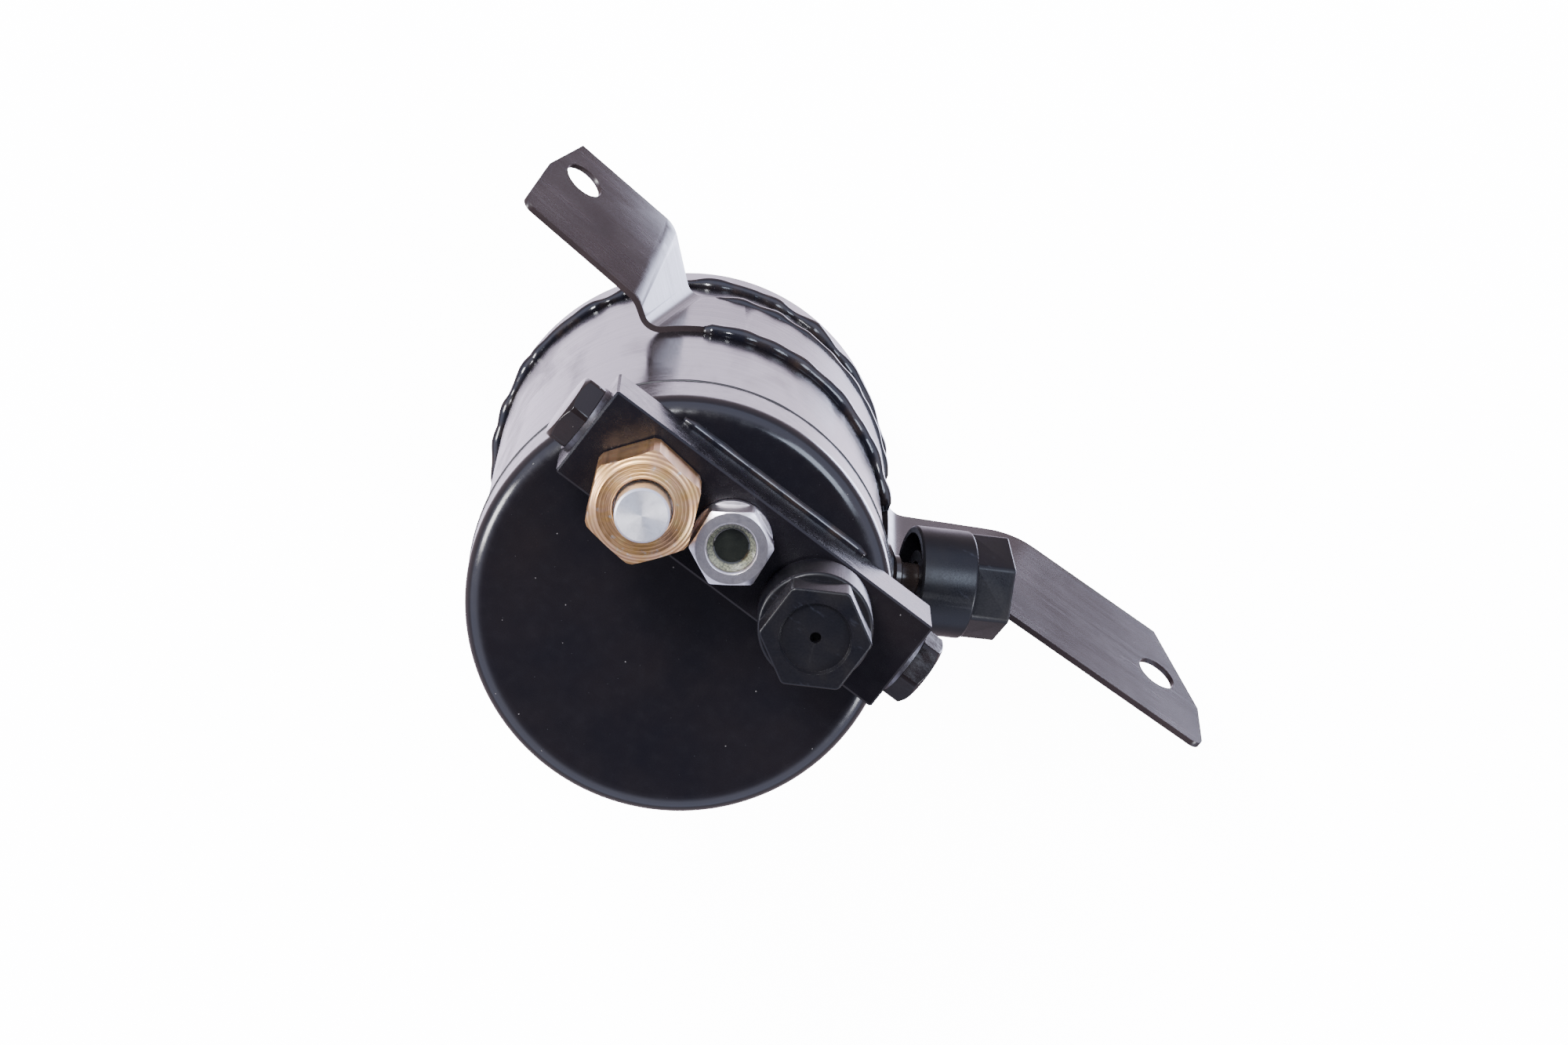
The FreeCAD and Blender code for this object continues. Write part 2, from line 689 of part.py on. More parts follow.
# ---------------------------------------------------------------- the whole reservoir
def port_places():
    """Placements of the two capped ports: the origin of each is its cap's mouth."""
    clock = math.radians(side_clock)
    droop = math.radians(side_droop)
    axis = Vector(math.cos(droop) * math.cos(clock), math.cos(droop) * math.sin(clock),
                  -math.sin(droop))
    surface = Vector(vessel_r * math.cos(clock), vessel_r * math.sin(clock), side_z)
    turn = Rotation(Vector(0, 0, 1), axis)
    front = at(service_x, service_y, bar_top + 1.0)
    return front, Placement(surface + axis * side_mouth, turn), Placement(surface, turn)


def main():
    os.makedirs(OUT, exist_ok=True)
    front_place, side_place, side_surface = port_places()

    save(make_shell(side_place), "shell")
    save(make_top_cap(), "top_cap")
    save(make_base_cap(), "base_cap")
    save(make_base_weld(), "base_weld")

    bracket = make_bracket()
    save(bracket, "bracket")
    save(make_bracket_weld(strap_high, 40, 124, bracket), "bracket_weld_upper")
    save(make_bracket_weld(strap_low, 38, 122, bracket), "bracket_weld_lower")

    save(make_manifold_bar(), "manifold_bar")
    save(make_manifold_weld(), "manifold_weld")
    save(make_gallery_plugs(), "gallery_plugs")
    save(make_plug_washers(), "plug_washers")

    save(make_union_stub(), "union_stub")
    save(make_union_nut(), "union_nut")
    save(make_blanking_plug(), "blanking_plug")
    save(make_plug_o_ring(), "plug_o_ring")

    save(make_sight_glass_body(), "sight_glass_body")
    save(make_sight_glass_lens(), "sight_glass_lens")
    save(make_sight_glass_seal(), "sight_glass_seal")

    bodies = {
        "front": make_port_body(-port_foot - 1.0, -1.0, -0.9, port_foot_r),
        "side": make_port_body(-side_mouth - 6.5, -side_mouth + 0.9, -side_mouth + 3.0, 5.4),
    }
    for name, place, turn, spring_top in (("front", front_place, 31, 11.35),
                                          ("side", side_place, 52, 9.8)):
        save(placed(bodies[name], place), name + "_port_body")
        save(placed(make_dust_cap(turn), place), name + "_port_cap")
        save(placed(make_cap_seal(), place), name + "_cap_seal")
        save(placed(make_valve_core(), place), name + "_valve_core")
        save(placed(make_valve_pin(), place), name + "_valve_pin")
        save(placed(make_valve_spring(spring_top), place), name + "_valve_spring")
    save(make_side_port_weld(side_surface), "side_port_weld")

    save(make_dip_tube(), "dip_tube")
    save(make_pickup_strainer(), "pickup_strainer")
    save(make_strainer_foot(), "strainer_foot")
    save(make_baffle_plate(), "baffle_plate")
    save(placed(make_return_diffuser(), side_place), "return_diffuser")


main()
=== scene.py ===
"""Looks of a small welded fluid reservoir, built around its CAD frame.

The vessel stands on a pale floor with its manifold end up. Welds, the bracket and the turned
parts get their own meshes where the frame's shape is too plain; the other parts keep the
frame's shape and get a finish.
"""

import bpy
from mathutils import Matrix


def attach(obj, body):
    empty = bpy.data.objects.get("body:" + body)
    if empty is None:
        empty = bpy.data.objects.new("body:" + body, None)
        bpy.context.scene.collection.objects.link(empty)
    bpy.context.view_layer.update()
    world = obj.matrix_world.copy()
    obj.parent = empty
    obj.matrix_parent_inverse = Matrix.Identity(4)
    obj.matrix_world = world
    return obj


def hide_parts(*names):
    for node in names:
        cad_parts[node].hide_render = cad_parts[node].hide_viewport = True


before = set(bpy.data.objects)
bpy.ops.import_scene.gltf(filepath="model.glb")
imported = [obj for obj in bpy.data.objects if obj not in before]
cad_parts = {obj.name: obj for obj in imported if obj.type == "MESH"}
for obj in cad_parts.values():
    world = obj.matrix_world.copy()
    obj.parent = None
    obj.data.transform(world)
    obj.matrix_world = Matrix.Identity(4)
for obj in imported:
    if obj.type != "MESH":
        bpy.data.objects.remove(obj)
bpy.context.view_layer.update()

import logging
import math
from dataclasses import dataclass
from enum import Enum
from typing import Any

import bmesh
import bpy
from mathutils import Matrix, Vector, noise

MM = 0.001
BODY = "root"
MERGE = 2e-6            # corners of the frame's loose triangles meet within this, in metres
BROAD = 6e-6            # a face over this area, in square metres, keeps its own flat shading
BROAD_TURN = 9.0        # where its neighbours turn away by more than this, in degrees
BEAD_SIDES = 14
BEAD_CAP_SIDES = 20
log = logging.getLogger("reservoir")


# ------------------------------------------------------------------ node trees
class Graph:
    """One material's node tree, with short calls for the nodes that the finishes use."""

    def __init__(self, name: str) -> None:
        """Starts an empty finish.

        Args:
            name: the material's name.
        """
        self.material = bpy.data.materials.new(name)
        self.material.use_nodes = True
        self.tree = self.material.node_tree
        self.shader = self.tree.nodes["Principled BSDF"]
        self.place = self.node("ShaderNodeTexCoord").outputs["Object"]

    def node(self, kind: str, **settings: Any) -> bpy.types.Node:
        """Adds one node.

        Args:
            kind: Blender's name for the node.
            settings: properties of the node.

        Returns:
            The new node.
        """
        made = self.tree.nodes.new(kind)
        for name, value in settings.items():
            setattr(made, name, value)
        return made

    def feed(self, socket: bpy.types.NodeSocket, value: Any) -> None:
        """Links a socket to a node's output, or sets it where value is a constant.

        Args:
            socket: the input.
            value: an output socket, a number, a colour or a vector.
        """
        if isinstance(value, bpy.types.NodeSocket):
            self.tree.links.new(value, socket)
        elif isinstance(value, tuple) and len(value) == 3 and socket.type == "RGBA":
            socket.default_value = (*value, 1.0)
        else:
            socket.default_value = value

    def shade(self, **inputs: Any) -> bpy.types.Material:
        """Sets inputs of the shader, named with _ for each space.

        Args:
            inputs: a constant or an output socket for each input.

        Returns:
            The finished material.
        """
        for name, value in inputs.items():
            self.feed(self.shader.inputs[name.replace("_", " ")], value)
        return self.material

    def maths(self, operation: str, a: Any, b: Any = 0.0) -> bpy.types.NodeSocket:
        """One sum on numbers.

        Args:
            operation: the Math node's operation.
            a: first value.
            b: second value.

        Returns:
            The result's socket.
        """
        made = self.node("ShaderNodeMath", operation=operation)
        self.feed(made.inputs[0], a)
        self.feed(made.inputs[1], b)
        return made.outputs[0]

    def moved(self, scale: tuple = (1.0, 1.0, 1.0),
              centre: tuple = (0.0, 0.0, 0.0)) -> bpy.types.NodeSocket:
        """Object coordinates measured from a centre and scaled.

        Args:
            scale: factor along each axis.
            centre: the point that becomes the pattern's origin.

        Returns:
            The vector's socket.
        """
        made = self.node("ShaderNodeMapping", vector_type="TEXTURE")
        self.feed(made.inputs["Vector"], self.place)
        made.inputs["Location"].default_value = centre
        made.inputs["Scale"].default_value = tuple(1.0 / s for s in scale)
        return made.outputs["Vector"]

    def cloud(self, scale: float, detail: float = 3.0, rough: float = 0.5,
              place: Any = None, swirl: float = 0.0) -> bpy.types.NodeSocket:
        """A noise pattern.

        Args:
            scale: lumps per metre.
            detail: octaves.
            rough: weight of the finer octaves.
            place: coordinates, or the object's own.
            swirl: distortion.

        Returns:
            A value round 0.5.
        """
        made = self.node("ShaderNodeTexNoise")
        self.feed(made.inputs["Vector"], place if place is not None else self.place)
        for name, value in (("Scale", scale), ("Detail", detail), ("Roughness", rough),
                            ("Distortion", swirl)):
            made.inputs[name].default_value = value
        return made.outputs["Fac"]

    def specks(self, scale: float, size: float, share: float) -> bpy.types.NodeSocket:
        """Small scattered dots.

        Args:
            scale: cells per metre, each with at most one dot.
            size: a dot's radius as a share of its cell.
            share: share of the cells that have a dot.

        Returns:
            1 in a dot and 0 elsewhere.
        """
        made = self.node("ShaderNodeTexVoronoi")
        self.feed(made.inputs["Vector"], self.place)
        made.inputs["Scale"].default_value = scale
        near = self.span(made.outputs["Distance"], size, size * 0.5, 0.0, 1.0)
        hue = self.node("ShaderNodeSeparateColor")
        self.feed(hue.inputs[0], made.outputs["Color"])
        chosen = self.maths("LESS_THAN", hue.outputs[0], share)
        return self.maths("MULTIPLY", near, chosen)

    def span(self, value: Any, low: float, high: float, start: float,
             end: float) -> bpy.types.NodeSocket:
        """Maps low..high on start..end, and stops there.

        Args:
            value: what is mapped.
            low: value that gives start.
            high: value that gives end.
            start: result at low.
            end: result at high.

        Returns:
            The mapped value's socket.
        """
        made = self.node("ShaderNodeMapRange")
        for socket, given in zip(made.inputs, (value, low, high, start, end)):
            self.feed(socket, given)
        return made.outputs[0]

    def blend(self, share: Any, first: Any, second: Any) -> bpy.types.NodeSocket:
        """Mixes two colours.

        Args:
            share: how much of the second colour.
            first: colour at 0.
            second: colour at 1.

        Returns:
            The mixed colour's socket.
        """
        made = self.node("ShaderNodeMix", data_type="RGBA")
        self.feed(made.inputs[0], share)
        self.feed(made.inputs[6], first)
        self.feed(made.inputs[7], second)
        return made.outputs[2]

    def relief(self, height: Any, depth: float, strength: float = 1.0,
               over: Any = None) -> bpy.types.NodeSocket:
        """A bump.

        Args:
            height: pattern from 0 to 1.
            depth: height of the pattern in metres.
            strength: share of it that shows.
            over: a bump that this one lies on.

        Returns:
            The normal's socket.
        """
        made = self.node("ShaderNodeBump")
        made.inputs["Strength"].default_value = strength
        made.inputs["Distance"].default_value = depth
        self.feed(made.inputs["Height"], height)
        if over is not None:
            self.feed(made.inputs["Normal"], over)
        return made.outputs["Normal"]

    def off_axis(self, place: Any) -> bpy.types.NodeSocket:
        """Distance from the Z axis of the given coordinates.

        Args:
            place: the vector's socket.

        Returns:
            The distance's socket.
        """
        parts = self.node("ShaderNodeSeparateXYZ")
        self.feed(parts.inputs[0], place)
        x2 = self.maths("MULTIPLY", parts.outputs[0], parts.outputs[0])
        y2 = self.maths("MULTIPLY", parts.outputs[1], parts.outputs[1])
        return self.maths("SQRT", self.maths("ADD", x2, y2))

    def rings(self, centre: tuple, pitch: float) -> bpy.types.NodeSocket:
        """Turning marks: rings round an upright axis.

        Args:
            centre: a point of the axis.
            pitch: distance from ring to ring, in metres.

        Returns:
            A wave between -1 and 1.
        """
        radius = self.off_axis(self.moved(centre=centre))
        return self.maths("SINE", self.maths("MULTIPLY", radius, math.tau / pitch))


# ------------------------------------------------------------------ finishes
class Lay(Enum):
    """Which way the fine marks of a surface run: marks per metre along X, Y and Z."""

    ROUND = (12.0, 12.0, 2200.0)
    NONE = (300.0, 300.0, 300.0)


@dataclass(frozen=True)
class Enamel:
    """Glossy enamel with orange peel, faint rubbing marks and dust."""

    name: str
    colour: tuple = (0.0045, 0.0041, 0.0062)
    haze: tuple = (0.0085, 0.0065, 0.0075)
    gloss: float = 0.16
    lay: Lay = Lay.NONE
    peel: float = 0.000012
    dust: float = 0.10
    index: float = 1.56

    def make(self) -> bpy.types.Material:
        """Returns the finish as a material."""
        g = Graph(self.name)
        rubbed = g.cloud(1.0, 4.0, 0.6, g.moved(self.lay.value))
        patches = g.cloud(38.0, 3.0, 0.55)
        dots = g.specks(420.0, 0.085, self.dust)
        lint = g.specks(900.0, 0.10, self.dust * 0.6)
        colour = g.blend(g.span(patches, 0.35, 0.75, 0.0, 1.0), self.colour, self.haze)
        colour = g.blend(g.maths("MULTIPLY", dots, 0.55), colour, (0.20, 0.18, 0.17))
        colour = g.blend(g.maths("MULTIPLY", lint, 0.30), colour, (0.10, 0.10, 0.11))
        rough = g.maths("ADD", g.span(rubbed, 0.3, 0.7, self.gloss * 0.7, self.gloss * 1.4),
                        g.maths("MULTIPLY", dots, 0.35))
        if self.lay is Lay.ROUND:
            worn = g.cloud(1.0, 3.0, 0.6, g.moved((55.0, 55.0, 14.0)), 0.6)
            rough = g.maths("ADD", rough, g.span(worn, 0.48, 0.72, 0.0, self.gloss * 1.1))
        peel = g.relief(g.cloud(420.0, 2.0, 0.5), self.peel)
        marks = g.relief(rubbed, 0.000006, 0.6, peel)
        grit = g.relief(dots, 0.00005, 0.7, marks)
        return g.shade(Base_Color=colour, Roughness=rough, Normal=grit, IOR=self.index)


@dataclass(frozen=True)
class WeldEnamel:
    """The same enamel where it has flowed over a weld: wet, lumpy, with brown burnt patches."""

    name: str

    def make(self) -> bpy.types.Material:
        """Returns the finish as a material."""
        g = Graph(self.name)
        burnt = g.cloud(160.0, 3.0, 0.6)
        colour = g.blend(g.span(burnt, 0.45, 0.75, 0.0, 1.0), (0.005, 0.005, 0.008),
                         (0.022, 0.014, 0.011))
        pits = g.specks(520.0, 0.12, 0.06)
        lumps = g.relief(g.cloud(260.0, 3.0, 0.5), 0.00016, 0.6)
        normal = g.relief(pits, 0.00010, 0.6, lumps)
        rough = g.span(burnt, 0.3, 0.8, 0.09, 0.22)
        return g.shade(Base_Color=colour, Roughness=rough, Normal=normal, IOR=1.6)


@dataclass(frozen=True)
class SheetCoat:
    """A thin satin coat on rolled sheet, a little brown, with rolling marks and stains."""

    name: str

    def make(self) -> bpy.types.Material:
        """Returns the finish as a material."""
        g = Graph(self.name)
        rolled = g.cloud(1.0, 4.0, 0.6, g.moved((30.0, 30.0, 900.0)))
        stain = g.cloud(45.0, 4.0, 0.6, swirl=0.4)
        colour = g.blend(g.span(stain, 0.35, 0.7, 0.0, 1.0), (0.017, 0.012, 0.013),
                         (0.030, 0.021, 0.021))
        dots = g.specks(500.0, 0.09, 0.10)
        colour = g.blend(g.maths("MULTIPLY", dots, 0.5), colour, (0.16, 0.14, 0.14))
        rough = g.maths("ADD", g.span(rolled, 0.3, 0.7, 0.20, 0.27),
                        g.span(stain, 0.3, 0.7, -0.02, 0.04))
        normal = g.relief(rolled, 0.000005, 0.6, g.relief(g.cloud(350.0, 2.0), 0.000006))
        return g.shade(Base_Color=colour, Roughness=rough, Normal=normal, IOR=1.42)


@dataclass(frozen=True)
class YellowZinc:
    """Yellow passivated zinc plate: turned rings, rainbow patches and worn corners."""

    name: str
    centre: tuple
    ring_pitch: float = 0.00085

    def make(self) -> bpy.types.Material:
        """Returns the finish as a material."""
        g = Graph(self.name)
        turned = g.rings(self.centre, self.ring_pitch)
        broad = g.cloud(1.0, 3.0, 0.6, g.moved((5.0, 5.0, 5.0), self.centre))
        uneven = g.cloud(230.0, 4.0, 0.62, swirl=0.5)
        tint = g.cloud(150.0, 2.0, 0.5, swirl=1.2)
        colour = g.blend(g.span(tint, 0.35, 0.62, 0.0, 1.0), (0.52, 0.30, 0.115),
                         (0.56, 0.33, 0.19))
        colour = g.blend(g.span(uneven, 0.52, 0.74, 0.0, 0.6), colour, (0.40, 0.34, 0.16))
        colour = g.blend(g.span(g.cloud(420.0, 3.0, 0.6), 0.62, 0.72, 0.0, 0.7), colour,
                         (0.58, 0.52, 0.50))
        colour = g.blend(g.span(turned, 0.2, 1.0, 0.0, 0.35), colour, (0.22, 0.12, 0.05))
        rough = g.maths("ADD", g.span(uneven, 0.3, 0.7, 0.30, 0.42),
                        g.maths("MULTIPLY", broad, 0.04))
        grooves = g.relief(turned, 0.000030, 1.0)
        normal = g.relief(uneven, 0.00002, 0.4, grooves)
        return g.shade(Base_Color=colour, Metallic=1.0, Roughness=rough, Normal=normal)


@dataclass(frozen=True)
class TurnedMetal:
    """Bright turned metal, with fine rings round its own axis and a few dull marks."""

    name: str
    colour: tuple = (0.78, 0.78, 0.81)
    dull: tuple = (0.55, 0.54, 0.56)
    gloss: float = 0.24
    centre: tuple = (0.0, 0.0, 0.0)
    ring_pitch: float = 0.00022
    ring_depth: float = 0.000008
    stretch: float = 0.0
    mottle: float = 0.12

    def make(self) -> bpy.types.Material:
        """Returns the finish as a material."""
        g = Graph(self.name)
        turned = g.rings(self.centre, self.ring_pitch)
        marks = g.cloud(700.0, 4.0, 0.6, swirl=0.3)
        colour = g.blend(g.span(marks, 0.50, 0.80, 0.0, 1.0), self.colour, self.dull)
        rough = g.span(marks, 0.3, 0.75, self.gloss * (1.0 - self.mottle),
                       self.gloss * (1.0 + self.mottle))
        grooves = g.relief(turned, self.ring_depth, 0.6)
        normal = g.relief(marks, 0.000003, 0.25, grooves)
        if self.stretch > 0:
            ring = g.node("ShaderNodeTangent", direction_type="RADIAL", axis="Z")
            g.feed(g.shader.inputs["Tangent"], ring.outputs[0])
        return g.shade(Base_Color=colour, Metallic=1.0, Roughness=rough, Normal=normal,
                       Anisotropic=self.stretch)


@dataclass(frozen=True)
class MouldedNylon:
    """Slate black moulded nylon: fine grain, handling marks and pale scuffs."""

    name: str
    colour: tuple = (0.0030, 0.0031, 0.0052)
    gloss: float = 0.34

    def make(self) -> bpy.types.Material:
        """Returns the finish as a material."""
        g = Graph(self.name)
        grain = g.cloud(2600.0, 3.0, 0.6)
        flow = g.cloud(90.0, 3.0, 0.55, swirl=0.5)
        scuff = g.cloud(1.0, 5.0, 0.7, g.moved((120.0, 420.0, 260.0)))
        colour = g.blend(g.span(flow, 0.3, 0.7, 0.0, 1.0), self.colour, (0.0062, 0.0050, 0.0056))
        colour = g.blend(g.span(scuff, 0.62, 0.74, 0.0, 0.22), colour, (0.07, 0.075, 0.10))
        rough = g.maths("ADD", g.span(grain, 0.3, 0.7, self.gloss - 0.05, self.gloss + 0.07),
                        g.span(flow, 0.3, 0.7, -0.04, 0.05))
        normal = g.relief(grain, 0.000012, 0.6, g.relief(scuff, 0.00001, 0.5))
        return g.shade(Base_Color=colour, Roughness=rough, Normal=normal, IOR=1.36)


@dataclass(frozen=True)
class FusedGlass:
    """A sight glass: dark clear middle, with a granular fused ring at the wall."""

    name: str
    centre: tuple
    clear_r: float = 4.1 * MM
    blur: float = 0.4 * MM

    def make(self) -> bpy.types.Material:
        """Returns the finish as a material."""
        g = Graph(self.name)
        radius = g.off_axis(g.moved(centre=self.centre))
        ring = g.span(radius, self.clear_r, self.clear_r + self.blur, 0.0, 1.0)
        grains = g.cloud(2200.0, 3.0, 0.7)
        fused = g.blend(g.span(grains, 0.35, 0.68, 0.0, 1.0), (0.035, 0.040, 0.022),
                        (0.23, 0.23, 0.14))
        deep = g.blend(g.span(g.cloud(180.0, 2.0), 0.3, 0.7, 0.0, 1.0), (0.006, 0.007, 0.006),
                       (0.016, 0.018, 0.014))
        colour = g.blend(ring, deep, fused)
        rough = g.maths("ADD", 0.05, g.maths("MULTIPLY", ring, 0.22))
        height = g.maths("MULTIPLY", grains, ring)
        normal = g.relief(height, 0.00008, 0.8)
        return g.shade(Base_Color=colour, Roughness=rough, Normal=normal, IOR=1.52,
                       Coat_Weight=0.3, Coat_Roughness=0.04)


@dataclass(frozen=True)
class Nitrile:
    """Matt black seal rubber."""

    name: str

    def make(self) -> bpy.types.Material:
        """Returns the finish as a material."""
        g = Graph(self.name)
        bloom = g.cloud(300.0, 3.0, 0.6)
        colour = g.blend(g.span(bloom, 0.4, 0.7, 0.0, 1.0), (0.012, 0.012, 0.012),
                         (0.028, 0.027, 0.026))
        normal = g.relief(g.cloud(1800.0, 2.0), 0.00001, 0.6)
        return g.shade(Base_Color=colour, Roughness=g.span(bloom, 0.3, 0.7, 0.5, 0.68),
                       Normal=normal)


@dataclass(frozen=True)
class StudioFloor:
    """Pale seamless floor, lit evenly so that it stays white round the vessel."""

    name: str = "pale_floor"
    glow: float = 13.0

    def make(self) -> bpy.types.Material:
        """Returns the finish as a material."""
        g = Graph(self.name)
        tone = g.cloud(6.0, 2.0)
        colour = g.blend(tone, (0.86, 0.86, 0.87), (0.90, 0.90, 0.90))
        return g.shade(Base_Color=colour, Roughness=0.75, Emission_Color=(1.0, 1.0, 1.0),
                       Emission_Strength=self.glow)


# ------------------------------------------------------------------ mesh helpers
def finish_mesh(work: bmesh.types.BMesh, name: str, finish: bpy.types.Material,
                sharp: float) -> bpy.types.Object:
    """Turns a bmesh into a named piece at the origin.

    Args:
        work: the bmesh, which is freed.
        name: the piece's name.
        finish: its material.
        sharp: edges that turn more than this many degrees stay sharp.

    Returns:
        The new object.
    """
    for face in work.faces:
        face.smooth = True
    for edge in work.edges:
        if len(edge.link_faces) == 2:
            broad = max(face.calc_area() for face in edge.link_faces) > BROAD
            limit = min(sharp, BROAD_TURN) if broad else sharp
            edge.smooth = edge.calc_face_angle(0.0) < math.radians(limit)
    mesh = bpy.data.meshes.new(name)
    work.to_mesh(mesh)
    work.free()
    mesh.materials.append(finish)
    piece = bpy.data.objects.new(name, mesh)
    bpy.context.scene.collection.objects.link(piece)
    return piece


def joined_copy(node: str, flat: float) -> bmesh.types.BMesh:
    """A closed copy of a CAD node, with its flat faces whole again.

    Args:
        node: the CAD node's name.
        flat: faces that turn less than this many degrees become one.

    Returns:
        The copy as a bmesh.
    """
    work = bmesh.new()
    work.from_mesh(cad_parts[node].data)
    bmesh.ops.remove_doubles(work, verts=work.verts, dist=MERGE)
    bmesh.ops.dissolve_limit(work, angle_limit=math.radians(flat), verts=work.verts,
                             edges=work.edges)
    return work


def soften(work: bmesh.types.BMesh, width: float, angle: float, steps: int = 3) -> None:
    """Rounds the edges that turn more than angle.

    Args:
        work: the bmesh.
        width: bevel width in metres.
        angle: least turn, in degrees.
        steps: segments of the rounding.
    """
    edges = [e for e in work.edges if len(e.link_faces) == 2
             and e.calc_face_angle(0.0) > math.radians(angle)]
    bmesh.ops.bevel(work, geom=edges, offset=width, offset_type="OFFSET", segments=steps,
                    profile=0.5, affect="EDGES", clamp_overlap=True, material=-1)


def dress(node: str, finish: bpy.types.Material) -> None:
    """Gives a CAD node a finish.

    Args:
        node: the node's name.
        finish: the material for all its slots.
    """
    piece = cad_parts[node]
    for slot in piece.material_slots:
        slot.material = finish
    if not piece.material_slots:
        piece.data.materials.append(finish)


def stand_for(piece: bpy.types.Object, body: str, slot: str, *nodes: str) -> None:
    """Rides a piece on a body in place of CAD nodes.

    Args:
        piece: the new piece.
        body: the body it rides on.
        slot: not used.
        nodes: the CAD nodes it stands for.
    """
    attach(piece, body)
    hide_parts(*nodes)
    log.info("%s: %d faces on %s", piece.name, len(piece.data.polygons), body)


def rounded(node: str, name: str, finish: bpy.types.Material, body: str, slot: str,
            edge: float, angle: float, sharp: float = 30.0, flat: float = 0.6) -> None:
    """Stands a copy of a CAD node with rounded edges in its place.

    Args:
        node: the CAD node's name.
        name: the new piece's name.
        finish: its material.
        body: the body it rides on.
        slot: not used.
        edge: width of the rounding in metres.
        angle: edges that turn more than this many degrees are rounded.
        sharp: edges that still turn more than this stay sharp.
        flat: faces that turn less than this many degrees become one.
    """
    work = joined_copy(node, flat)
    soften(work, edge, angle)
    stand_for(finish_mesh(work, name, finish, sharp), body, slot, node)


# ------------------------------------------------------------------ welds
@dataclass
class Bead:
    """One run of weld round the vessel, with swells and small drops under its paint."""

    name: str
    run_r: float
    level: float
    size: float
    seed: float
    lumps: float
    first: float = 0.0
    last: float = 360.0
    ripple: float = 1.5 * MM
    sway: float = 6.0 * MM
    swell: float = 7.0 * MM
    step: float = 0.45 * MM
    end_run: float = 4.0 * MM

    def build(self, finish: bpy.types.Material) -> bpy.types.Object:
        """Spins a small ring round the vessel, then raises drops along it.

        Args:
            finish: the weld's material.

        Returns:
            The bead.
        """
        whole = self.last - self.first >= 360.0
        sweep = math.radians(self.last - self.first)
        steps = int(sweep * self.run_r / self.step)
        work = bmesh.new()
        ring = bmesh.ops.create_circle(work, cap_ends=False, radius=self.size,
                                       segments=BEAD_SIDES)
        start = (Matrix.Rotation(math.radians(self.first), 4, "Z")
                 @ Matrix.Translation((self.run_r, 0.0, self.level))
                 @ Matrix.Rotation(math.pi / 2, 4, "X"))
        bmesh.ops.transform(work, matrix=start, verts=ring["verts"])
        bmesh.ops.spin(work, geom=work.verts[:] + work.edges[:], cent=(0, 0, 0),
                       axis=(0, 0, 1), angle=sweep, steps=steps, use_merge=whole)
        if not whole:
            bmesh.ops.holes_fill(work, edges=work.edges, sides=BEAD_CAP_SIDES)
        self.raise_drops(work)
        bmesh.ops.recalc_face_normals(work, faces=work.faces)
        return finish_mesh(work, self.name, finish, 80.0)

    def raise_drops(self, work: bmesh.types.BMesh) -> None:
        """Moves each point out or in from the run's middle, as drops of weld lie.

        Args:
            work: the bead's bmesh.
        """
        for vert in work.verts:
            clock = math.atan2(vert.co.y, vert.co.x)
            middle = Vector((math.cos(clock), math.sin(clock), 0.0)) * self.run_r
            middle.z = self.level
            along = clock * self.run_r
            wander = noise.noise(Vector((along / self.sway, self.seed, 0.0)))
            drop = math.sin(along / self.ripple + 1.8 * wander)
            coarse = noise.noise(Vector((along / self.swell, self.seed + 7.0, 0.0)))
            share = 1.0 + self.lumps * (0.10 * drop + coarse) + 0.10 * wander
            share *= self.end_taper(math.degrees(clock))
            vert.co = middle + (vert.co - middle) * share

    def end_taper(self, clock: float) -> float:
        """How full the bead is at a clock angle, from 0.25 near its ends to 1.

        Args:
            clock: the angle round the vessel, in degrees.

        Returns:
            The share of the bead's full radius.
        """
        if self.last - self.first >= 360.0:
            return 1.0
        reach = min(clock - self.first, self.last - clock) * math.radians(1.0) * self.run_r
        return max(0.25, min(1.0, 0.55 + reach / self.end_run))


